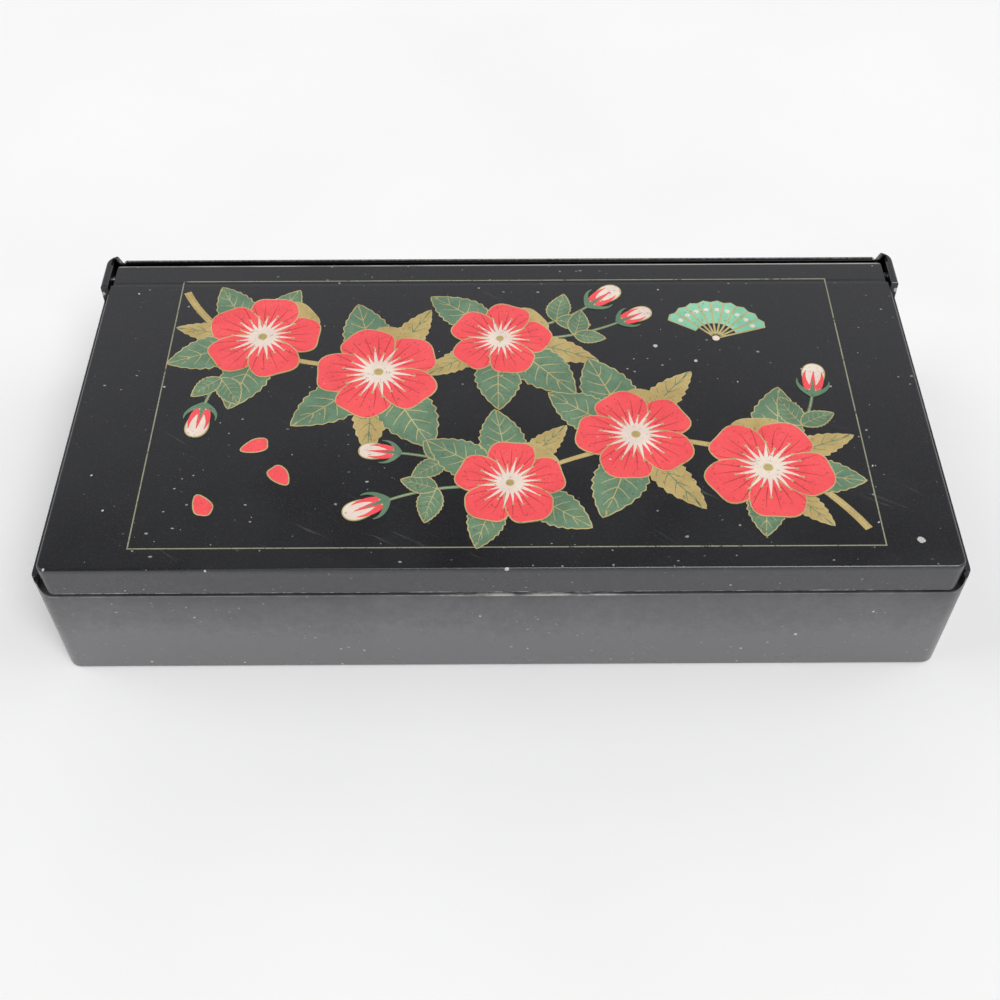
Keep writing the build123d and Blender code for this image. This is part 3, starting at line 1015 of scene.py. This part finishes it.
@dataclass
class LidDecoration:
    """Printed lid: a thin border, two sprays of round blossoms with toothed leaves and buds, and a fan.

    Lengths are in millimetres on the lid's face, in the shared frame.
    """

    groups: EffectGroups
    face_height: float
    border_centre: Point = (1.2, -1.75)
    border_half: Point = (78.6, 41.7)
    border_line: float = 0.28
    gold_line: float = 0.26
    blossom_size: float = 27.0
    petals: int = 5
    leaf_stalk: float = 5.0
    leaf_level: int = 8
    leaf_turns: int = 14
    bud_level: int = 66
    blossom_level: int = 74
    fan_folds: int = 9
    fan_opening: float = 2.3
    seed: int = 7
    layers: dict[str, InkLayer] = field(default_factory=dict)

    def __post_init__(self) -> None:
        """Mixes the inks and opens a layer for each."""
        for name, (first, second, *rest) in INKS.items():
            ink = Ink(f"ink_{name}", self.groups, srgb(*first), srgb(*second), *rest)
            self.layers[name] = InkLayer(f"print_{name}", ink.build(), self.face_height)
        self.random = random.Random(self.seed)

    def ink(self, name: str, spot: Spot, shape: list[Point], level: int) -> None:
        """Prints a shape of a motif at its spot, in an ink and at a level."""
        self.layers[name].slab(spot.outline(shape), level)

    def edged(self, name: str, spot: Spot, shape: list[Point], level: int) -> None:
        """Prints a shape with a gold line round it.

        Args:
            name: its ink.
            spot: where it goes.
            shape: outline in sizes of the motif.
            level: level of the gold. The ink stands one step over it.
        """
        self.layers["gold"].slab(grown(spot.outline(shape), self.gold_line), level)
        self.ink(name, spot, shape, level + 1)

    def blossom(self, spot: Spot) -> None:
        """Prints an open blossom with overlapping petals, pale rays and gold anthers.

        Args:
            spot: where its middle goes.
        """
        level = self.blossom_level
        self.edged("ochre", spot, turned(petal(0.53, 0.3, 0.02, 1.0), math.tau * 0.5 / self.petals), level)
        for number in range(self.petals):
            level += 3
            turn = math.tau * number / self.petals
            phase = self.random.uniform(0, math.tau)
            self.edged("coral", spot, turned(petal(0.5, 0.285, 0.03, phase), turn), level)
            for lean in (-0.34, -0.17, 0.0, 0.17, 0.34):
                tip = (0.42 - abs(lean) * 0.15, lean * 0.62)
                line = stroke((0.2, lean * 0.3), (0.32, lean * 0.55), tip, 0.006, 0.002)
                self.ink("deep_coral", spot, turned(line, turn), level + 2)
        level += 3
        rays = self.petals * 4
        for number in range(rays):
            turn = math.tau * (number + 0.5) / rays
            reach = 0.19 + 0.05 * self.random.random() + (0.055 if number % 2 else 0)
            ray = stroke((0.02, 0), (reach * 0.5, 0.012), (reach, 0), 0.028, 0.003)
            self.ink("cream", spot, turned(ray, turn), level + number % 4)
            self.ink("gold", spot, turned(disc(reach + 0.014, 0, 0.013, 8), turn), level + 4)
        for order, (name, radius) in enumerate((("cream", 0.065), ("gold", 0.04), ("ochre", 0.028))):
            self.ink(name, spot, disc(0, 0, radius), level + 5 + order)

    def leaf(self, spot: Spot, number: int, name: str = "green") -> None:
        """Prints a leaf with its midrib and side veins.

        Args:
            spot: where its stalk goes, its turn and its length.
            number: its number, which sets its level.
            name: its ink.
        """
        level = self.leaf_level + 4 * (number % self.leaf_turns)
        bend = self.random.uniform(-0.16, 0.16)
        width, vein_ink = (0.27, "gold") if name == "green" else (0.17, "green")
        self.edged(name, spot, leaf(width, bend, 9, 0.03), level)
        rib = stroke((-0.05, 0), (0.5, 0), (0.95, bend * 0.9), 0.011, 0.003, 12)
        self.ink(vein_ink, spot, rib, level + 3)
        for start in (0.1 + 0.15 * step for step in range(1, 6)):
            half = width * 0.78 * math.sin(math.pi * min(start + 0.14, 1) ** 0.8)
            base = bend * start * start
            for reach in (-half, half):
                pull, tip = (start + 0.05, base + reach * 0.55), (start + 0.14, base + reach)
                self.ink(vein_ink, spot, stroke((start, base), pull, tip, 0.007, 0.003, 5), level + 2)

    def bud(self, spot: Spot) -> None:
        """Prints a closed bud with pale folded tips and a green cup.

        Args:
            spot: where its cup sits, its turn and its length.
        """
        self.edged("cream", spot, petal(1.0, 0.36, 0.0, 0.0), self.bud_level)
        for order, lean in enumerate((-0.22, 0.0, 0.22), 2):
            fold = stroke((0.08, lean * 0.4), (0.4, lean * 1.3), (0.74, lean * 0.9), 0.1, 0.01)
            self.ink("coral", spot, fold, self.bud_level + order)
        for order, lean in enumerate((-0.5, 0.5, 0.0), 5):
            sepal = stroke((-0.1, 0), (0.12, lean * 0.9), (0.42, lean * 0.8), 0.09, 0.01)
            self.ink("green", spot, sepal, self.bud_level + order)

    def twig(self, twig: Twig, name: str) -> None:
        """Prints a bowed twig in an ink, with a light line along it, under everything else.

        Args:
            twig: where it runs, how wide it is and at which level it lies.
            name: of its ink.
        """
        for ink, share, over in ((name, 1.0, 0), ("gold", 0.25, 1)):
            shape = stroke(twig.start, twig.bow, twig.end, twig.first * share, twig.last * share, 20)
            self.layers[ink].slab(shape, twig.level + over)

    def fan(self, spot: Spot) -> None:
        """Prints an open folding fan.

        Args:
            spot: where its rivet goes, its turn and its radius.
        """
        fold = self.fan_opening / self.fan_folds
        for number in range(self.fan_folds):
            angle = -self.fan_opening / 2 + self.fan_opening * number / self.fan_folds
            turns = (angle, angle + fold / 2, angle + fold)
            low, middle, high = ((math.cos(turn), math.sin(turn)) for turn in turns)
            rim = ((low, 1.0), (middle, 1.04), (high, 1.0), (high, 0.42), (low, 0.42))
            shape = [(reach * x, reach * y) for (x, y), reach in rim]
            self.edged("mint", spot, shape, self.leaf_level + 2 * (number % 2))
            stick = stroke((0, 0), (low[0] * 0.5, low[1] * 0.5), low, 0.02, 0.016)
            self.ink("gold", spot, stick, self.leaf_level + 5)
            self.ink("cream", spot, disc(0.8 * middle[0], 0.8 * middle[1], 0.05, 8), self.leaf_level + 5)
        self.ink("cream", spot, disc(0, 0, 0.07), self.leaf_level + 6)

    def border(self) -> None:
        """Prints the thin line round the lid's face."""
        (x, y), (half_x, half_y), line = self.border_centre, self.border_half, self.border_line
        for side in (-1, 1):
            self.layers["border"].slab(rectangle(x + side * half_x, y, line, 2 * half_y - line), 0)
            self.layers["border"].slab(rectangle(x, y + side * half_y, 2 * half_x + line, line), 0)

    def build(self) -> list[Piece]:
        """Prints the whole lid.

        Returns:
            One piece for each ink.
        """
        self.border()
        for twig in MAIN_TWIGS:
            self.twig(twig, "ochre")
        number = 0
        for flower in BLOSSOMS:
            for order, (degrees, length) in enumerate(flower.leaves):
                turn = math.radians(degrees)
                x = flower.x + self.leaf_stalk * math.cos(turn)
                y = flower.y + self.leaf_stalk * math.sin(turn)
                spot = Spot(x, y, turn + self.random.uniform(-0.1, 0.1), length)
                self.leaf(spot, number, "ochre" if order in flower.ochre else "green")
                number += 1
            size = self.blossom_size * flower.share
            self.blossom(Spot(flower.x, flower.y, self.random.uniform(0, 1.2), size))
        for twig, length in BUD_TWIGS:
            self.twig(twig, "green")
            turn = math.atan2(twig.end[1] - twig.bow[1], twig.end[0] - twig.bow[0])
            self.bud(Spot(*twig.end, turn, length))
            middle = [(a + 2 * b + c) / 4 for a, b, c in zip(twig.start, twig.bow, twig.end)]
            for lean, share in ((0.75, 1.05), (-0.8, 0.9)):
                self.leaf(Spot(*middle, turn + lean, length * share), number)
                number += 1
        for x, y, turn in LOOSE_PETALS:
            self.edged("coral", Spot(x, y, turn, 6.0), petal(1.0, 0.42, 0.03, turn), self.leaf_level)
        self.fan(FAN_SPOT)
        return [layer.finish() for layer in self.layers.values()]


@dataclass
class RingRolls:
    """Velvet rolls that hold rings upright, blown up from one slack tube of cloth."""

    velvet: Material
    names: tuple[str, ...] = tuple(f"ring_roll_{number}" for number in range(1, 8))
    voxel: float = 0.9 * MM
    slack: float = 0.35 * MM
    swell: float = 0.3 * MM
    round_share: float = 0.46
    frames: int = 14
    smoothing: float = 0.4
    pressure: float = 4.0
    stiffness: float = 5.0

    def tube(self) -> Piece:
        """Makes the first roll's slightly smaller starting tube.

        Returns:
            The unblown roll.
        """
        low, high = corners(self.names[0])
        inner = [length - 2 * self.slack for length in high - low]
        bm = block(inner, (low + high) / 2)
        upper = [edge for edge in bm.edges if all(v.co.z > (low.z + high.z) / 2 for v in edge.verts)]
        rounded(bm, upper, inner[0] * self.round_share, 8)
        start = placed("roll_start", meshed("roll_start", bm))
        remesh = start.modifiers.new("voxels", "REMESH")
        remesh.mode = "VOXEL"
        remesh.voxel_size = self.voxel
        return start

    def settled(self, piece: Piece) -> bpy.types.Mesh:
        """Takes the mesh that a piece's modifiers give, and removes the piece.

        Args:
            piece: the piece.

        Returns:
            The mesh.
        """
        graph = bpy.context.evaluated_depsgraph_get()
        mesh = bpy.data.meshes.new_from_object(piece.evaluated_get(graph))
        bpy.data.objects.remove(piece)
        return mesh

    def blown(self) -> bpy.types.Mesh:
        """Blows the tube up with the cloth solver and caps how far it swells.

        Returns:
            The mesh of the blown roll, at the first roll's place.
        """
        rest = self.settled(self.tube())
        piece = placed("roll_cloth", rest.copy())
        settings = piece.modifiers.new("cloth", "CLOTH").settings
        settings.use_pressure = True
        settings.uniform_pressure_force = self.pressure
        settings.effector_weights.gravity = 0
        settings.tension_stiffness = self.stiffness
        for number in range(1, self.frames + 1):
            bpy.context.scene.frame_set(number)
        swollen = self.settled(piece)
        bpy.context.scene.frame_set(1)
        for vertex, before in zip(swollen.vertices, rest.vertices):
            move = vertex.co - before.co
            vertex.co = before.co + move.normalized() * min(move.length, self.swell)
        return swollen

    def build(self) -> list[Piece]:
        """Makes all the rolls.

        Returns:
            The rolls, from left to right.
        """
        source = self.blown()
        first_low, _ = corners(self.names[0])
        rolls = []
        for name in self.names:
            low, high = corners(name)
            bm = bmesh.new()
            bm.from_mesh(source)
            bmesh.ops.translate(bm, vec=low - first_low, verts=bm.verts)
            for vertex in bm.verts:
                vertex.co = [min(max(value, least), most) for value, least, most in zip(vertex.co, low, high)]
            bmesh.ops.smooth_vert(
                bm, verts=bm.verts, factor=self.smoothing, use_axis_x=True, use_axis_y=True, use_axis_z=True
            )
            roll = shown(f"velvet_{name}", smoothed(bm), self.velvet, Body.CASE)
            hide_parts(name)
            rolls.append(roll)
        return rolls


@dataclass
class VelvetBoards:
    """Boards covered in velvet that line and divide the case, each with soft edges and an uneven face."""

    velvet: Material
    linings: tuple[str, ...] = ("floor_lining", "lining_front", "lining_rear", "lining_left", "lining_right")
    dividers: tuple[str, ...] = ("divider_ring_bay", "divider_long", "divider_rear")
    loop_gap: float = 2.5 * MM
    lining_edge: float = 0.6 * MM
    round_share: float = 0.47
    unevenness: float = 0.12
    ripple_scale: float = 55.0

    def soften(self, bm: BMesh, low: Vector, high: Vector, thin: int) -> None:
        """Cuts even loops across a board and presses its faces in unevenly, as glued cloth lies.

        Args:
            bm: the board.
            low: its lowest corner.
            high: its highest corner.
            thin: the axis of its thickness.
        """
        for axis in (other for other in range(3) if other != thin):
            normal = Vector([1.0 if index == axis else 0.0 for index in range(3)])
            count = max(2, round((high[axis] - low[axis]) / self.loop_gap))
            for step in range(1, count):
                at = low.copy()
                at[axis] += (high[axis] - low[axis]) * step / count
                whole = bm.verts[:] + bm.edges[:] + bm.faces[:]
                bmesh.ops.bisect_plane(bm, geom=whole, dist=TOUCHING, plane_co=at, plane_no=normal)
        middle = (low[thin] + high[thin]) / 2
        for vertex in bm.verts:
            swell = 0.5 + 0.5 * noise.noise(vertex.co * self.ripple_scale)
            vertex.co[thin] = middle + (vertex.co[thin] - middle) * (1 - self.unevenness * swell)

    def board(self, node: str) -> Piece:
        """Makes one board in the place of its solid.

        Args:
            node: the solid's name.

        Returns:
            The board.
        """
        low, high = corners(node)
        thin = min(range(3), key=lambda axis: high[axis] - low[axis])
        bm = block(high - low, (low + high) / 2)
        if node in self.dividers:
            top = [edge for edge in bm.edges if all(v.co.z > high.z - NEAR for v in edge.verts)]
            long = [edge for edge in top if abs((edge.verts[0].co - edge.verts[1].co)[thin]) < NEAR]
            rounded(bm, long, (high - low)[thin] * self.round_share, 6)
        else:
            rounded(bm, bm.edges[:], self.lining_edge, 3)
        self.soften(bm, low, high, thin)
        bmesh.ops.recalc_face_normals(bm, faces=bm.faces)
        piece = shown(f"velvet_{node}", smoothed(bm), self.velvet, Body.CASE)
        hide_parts(node)
        return piece

    def build(self) -> list[Piece]:
        """Makes the linings and the dividers."""
        return [self.board(node) for node in self.linings + self.dividers]


@dataclass
class MirrorFrame:
    """Velvet-covered frame round the mirror, and the soft foam that the glass is stuck on with."""

    velvet: Material
    foam: Material
    boards: VelvetBoards
    window: Point = (138.0 * MM, 54.0 * MM)
    window_radius: float = 3.0 * MM
    corner_radius: float = 1.2 * MM
    edge: float = 0.7 * MM
    foam_radius: float = 1.5 * MM

    def loop(self, bm: BMesh, size: Point, middle: Vector, radius: float) -> None:
        """Adds a rectangle of edges with rounded corners.

        Args:
            bm: the mesh that it goes in.
            size: its length and width.
            middle: its middle.
            radius: of its corners.
        """
        verts = bmesh.ops.create_grid(bm, x_segments=1, y_segments=1, size=0.5)["verts"]
        bmesh.ops.scale(bm, vec=(*size, 1.0), verts=verts)
        bmesh.ops.translate(bm, vec=middle, verts=verts)
        faces = {face for vertex in verts for face in vertex.link_faces}
        bmesh.ops.delete(bm, geom=list(faces), context="FACES_ONLY")
        rounded(bm, verts, radius, 6, affect="VERTICES")

    def frame(self) -> Piece:
        """Makes the frame.

        Returns:
            The frame.
        """
        low, high = corners("mirror_surround")
        middle = Vector(((low.x + high.x) / 2, (low.y + high.y) / 2, low.z))
        bm = bmesh.new()
        self.loop(bm, (high.x - low.x, high.y - low.y), middle, self.corner_radius)
        self.loop(bm, self.window, middle, self.window_radius)
        bmesh.ops.bridge_loops(bm, edges=bm.edges[:])
        rim = [edge for edge in bm.edges if edge.is_boundary]
        raised(bm, bm.faces[:], high.z - low.z)
        bmesh.ops.recalc_face_normals(bm, faces=bm.faces)
        rounded(bm, rim, self.edge, 4, clamp_overlap=True)
        self.boards.soften(bm, low, high, UP)
        piece = shown("velvet_mirror_frame", smoothed(bm), self.velvet, Body.LID)
        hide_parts("mirror_surround")
        return piece

    def foam_pad(self) -> Piece:
        """Makes the foam behind the glass.

        Returns:
            The pad.
        """
        low, high = corners("mirror_pad")
        bm = block(high - low, (low + high) / 2)
        upright = [edge for edge in bm.edges if abs((edge.verts[0].co - edge.verts[1].co).z) > NEAR]
        rounded(bm, upright, self.foam_radius, 4)
        self.boards.soften(bm, low, high, UP)
        bmesh.ops.recalc_face_normals(bm, faces=bm.faces)
        piece = shown("foam_behind_mirror", bm, self.foam, Body.LID)
        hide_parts("mirror_pad")
        return piece

    def build(self) -> list[Piece]:
        """Makes the frame and the foam."""
        return [self.frame(), self.foam_pad()]


@dataclass
class CarriedShells:
    """Finishes of the pieces whose solid is already the right shape."""

    groups: EffectGroups
    hinge_strip: float = 7.15 * MM
    front_rim: float = 27.13 * MM
    rim_overlap: float = 0.5 * MM
    rim_crest: float = 1.15 * MM
    rim_foot: float = 3.0 * MM
    rim_drop: float = 0.5 * MM
    case_chips: tuple[ChipOrGlint, ...] = (
        # painted highlights: glints at the front top corners of the ears, painted as pale spots
        ChipOrGlint((-0.0973, 0.0378, 0.0345), 0.6 * MM),
        ChipOrGlint((0.0973, 0.0378, 0.0345), 0.6 * MM),
        # knocked spots on the front face
        ChipOrGlint((-0.0655, -0.0489, 0.0195), 0.3 * MM),
        ChipOrGlint((0.0640, -0.0488, 0.0120), 0.4 * MM),
    )

    def black(self, name: str, node: str, **marks: object) -> Material:
        """Makes the black of a shell, fitted to its size.

        Args:
            name: of the material.
            node: the shell.
            marks: the shell's own wear.

        Returns:
            The black.
        """
        low, high = corners(node)
        fit = {"centre": tuple((low + high) / 2), "half": tuple((high - low) / 2)}
        return BlackPlastic(name, self.groups, **fit, **marks).build()

    def lid_black(self) -> Material:
        """Makes the lid's black: a little painted light on the skirt, a sink line over the hinge, and a
        painted highlight line along the rear edge.

        Returns:
            The material.
        """
        low, high = corners("lid_shell")
        top, front = high.z, low.y
        chips = (
            ChipOrGlint((0.0872, -0.0421, top), 0.8 * MM),
            ChipOrGlint((0.0012, front, top - 0.3 * MM), 0.45 * MM),
            ChipOrGlint((-0.0606, front, top - 0.4 * MM), 0.3 * MM),
            ChipOrGlint((-0.0937, front + 0.4 * MM, top - 0.2 * MM), 0.3 * MM),
            ChipOrGlint((0.0455, 0.0114, top), 0.4 * MM),
            ChipOrGlint((0.0365, 0.0165, top), 0.5 * MM),
        )
        return self.black(
            "lid_black", "lid_shell", bloom=(0.135, 0.133, 0.138), bloom_top=top - 0.4 * MM,
            bloom_fade=1.2 * MM, bloom_upper=0.26, bloom_lower=0.0, wear_width=0.15 * MM,
            sink_line=high.y - self.hinge_strip, rear_line=high.y, chips=chips,
        )

    def case_black(self) -> Material:
        """Makes the case's black: painted light on the walls, grey and lighter towards the foot, a rubbed
        front rim that is partly a painted highlight, and painted shade with a painted highlight on the rear
        one.

        Returns:
            The material.
        """
        lid_high, case_high = corners("lid_shell")[1], corners("base_shell")[1]
        rim = RearRim(
            lid_high.y - self.rim_overlap, case_high.y - self.rim_crest,
            lid_high.z - self.rim_foot, lid_high.z - self.rim_drop,
        )
        return self.black(
            "case_black", "base_shell", roughness=0.28, front_rim=self.front_rim, rear_rim=rim,
            chips=self.case_chips,
        )

    def dress(self) -> dict[str, Material]:
        """Gives every carried-over piece its finish.

        Returns:
            The finishes by slot, which the new pieces share.
        """
        finishes = {
            "black_lid": self.lid_black(),
            "black_case": self.case_black(),
            "velvet": Velvet("velvet", self.groups).build(),
            "grey_card": Board("greyboard", self.groups).build(),
            "foam": Board("foam", self.groups, (0.78, 0.77, 0.72), (0.66, 0.65, 0.6), 3000.0).build(),
            "steel": Steel("steel_wire", self.groups).build(),
            "mirror_glass": Silvering("silvered_glass", self.groups).build(),
        }
        slots = {entry["node"]: entry["material_slot"] for entry in frame["record"]["subparts"]}
        for node, piece in frame["nodes"].items():
            piece.data.materials.clear()
            piece.data.materials.append(finishes[slots[node]])
            log.info("dressed %s in %s", node, slots[node])
        return finishes


@dataclass(frozen=True)
class Lamp:
    """A wide soft lamp so far away that it lights the whole table evenly.

    It has a direction from the box, a strength in watts per square metre and an apparent width in radians.
    """

    name: str
    direction: Triple
    strength: float
    width: float

    def hang(self) -> None:
        """Puts the lamp in the scene."""
        data = bpy.data.lights.new(self.name, "SUN")
        data.energy = self.strength
        data.angle = self.width
        lamp = placed(self.name, data)
        lamp.location = self.direction
        lamp.rotation_euler = (-Vector(self.direction)).to_track_quat("-Z", "Y").to_euler()


@dataclass
class Studio:
    """Pale table, soft light and the photograph's camera."""

    groups: EffectGroups
    focal_pixels: float = 1391.3
    picture_width: float = 1000.0
    sensor: float = 36.0
    near_clip: float = 5.0 * MM
    eye: Triple = (-0.00028, -0.22187, 0.26220)
    tilt: float = 0.868879
    roll: float = 0.004525
    yaw: float = 0.00058
    floor_size: float = 6.0
    room: float = 0.08
    backdrop: float = 0.64
    backdrop_height: Point = (0.62, 0.81)
    backdrop_edge: Point = (0.05, 0.45)
    white_horizon: Point = (0.25, 0.45)
    lamps: tuple[Lamp, ...] = (
        Lamp("front_lamp", (0.3, -0.6, 0.95), 2.05, 0.6),
        Lamp("left_lamp", (-0.9, 0.05, 0.95), 0.62, 0.75),
        Lamp("right_lamp", (0.9, 0.05, 0.95), 0.62, 0.75),
    )

    def table(self) -> None:
        """Lays the table under the box."""
        bm = bmesh.new()
        bmesh.ops.create_grid(bm, x_segments=1, y_segments=1, size=self.floor_size / 2)
        table = placed("table_top", meshed("table_top", bm))
        table.data.materials.append(TableTop("table_cloth", self.groups).build())

    def sky(self) -> None:
        """Sets the room: dim, with a pale backdrop low behind, and white to the eye and in mirrors."""
        world = bpy.data.worlds.new("room")
        world.use_nodes = True
        bpy.context.scene.world = world
        tree = Tree(world.node_tree)
        _, ahead, up = tree.axes(tree.node("TexCoord")["Generated"])
        low = tree.spread(up, *self.backdrop_height, 1.0, 0.0)
        glow = tree.times(low, tree.spread(ahead, *self.backdrop_edge), self.backdrop)
        ray = tree.node("LightPath")
        mirrored = tree.most(ray["Is Glossy Ray"], ray["Is Transmission Ray"])
        horizon = tree.times(mirrored, tree.spread(up, *self.white_horizon, 1.0, 0.0))
        seen = tree.most(ray["Is Camera Ray"], horizon)
        background = world.node_tree.nodes["Background"].inputs
        background["Color"].default_value = rgba(WHITE)
        tree.put(background["Strength"], tree.most(tree.plus(glow, self.room), seen))

    def camera(self) -> None:
        """Sets the camera where the photograph was taken."""
        data = bpy.data.cameras.new("photo_camera")
        data.sensor_width = self.sensor
        data.lens = self.focal_pixels / self.picture_width * self.sensor
        data.clip_start = self.near_clip
        camera = placed("photo_camera", data)
        camera.matrix_world = Matrix.Translation(self.eye)
        for angle, axis in ((-self.yaw, "Z"), (math.pi / 2 - self.tilt, "X"), (-self.roll, "Z")):
            camera.matrix_world @= Matrix.Rotation(angle, 4, axis)
        bpy.context.scene.camera = camera

    def build(self) -> None:
        """Sets the whole stage."""
        self.table()
        self.sky()
        for lamp in self.lamps:
            lamp.hang()
        self.camera()
        bpy.context.scene.view_settings.view_transform = "Standard"


def main() -> None:
    """Builds every sub-assembly in order and reports its pieces."""
    logging.basicConfig(level=logging.INFO, format="%(message)s")
    groups = EffectGroups()
    finishes = CarriedShells(groups).dress()
    velvet = finishes["velvet"]
    boards = VelvetBoards(velvet)
    made = boards.build()
    made += RingRolls(velvet).build()
    made += MirrorFrame(velvet, finishes["foam"], boards).build()
    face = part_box("lid_shell")[1][2]
    for layer in LidDecoration(groups, face).build():
        made.append(layer)
    for piece in made:
        log.info("made %s", piece.name)
    Studio(groups).build()


if __name__ == "__main__":
    main()
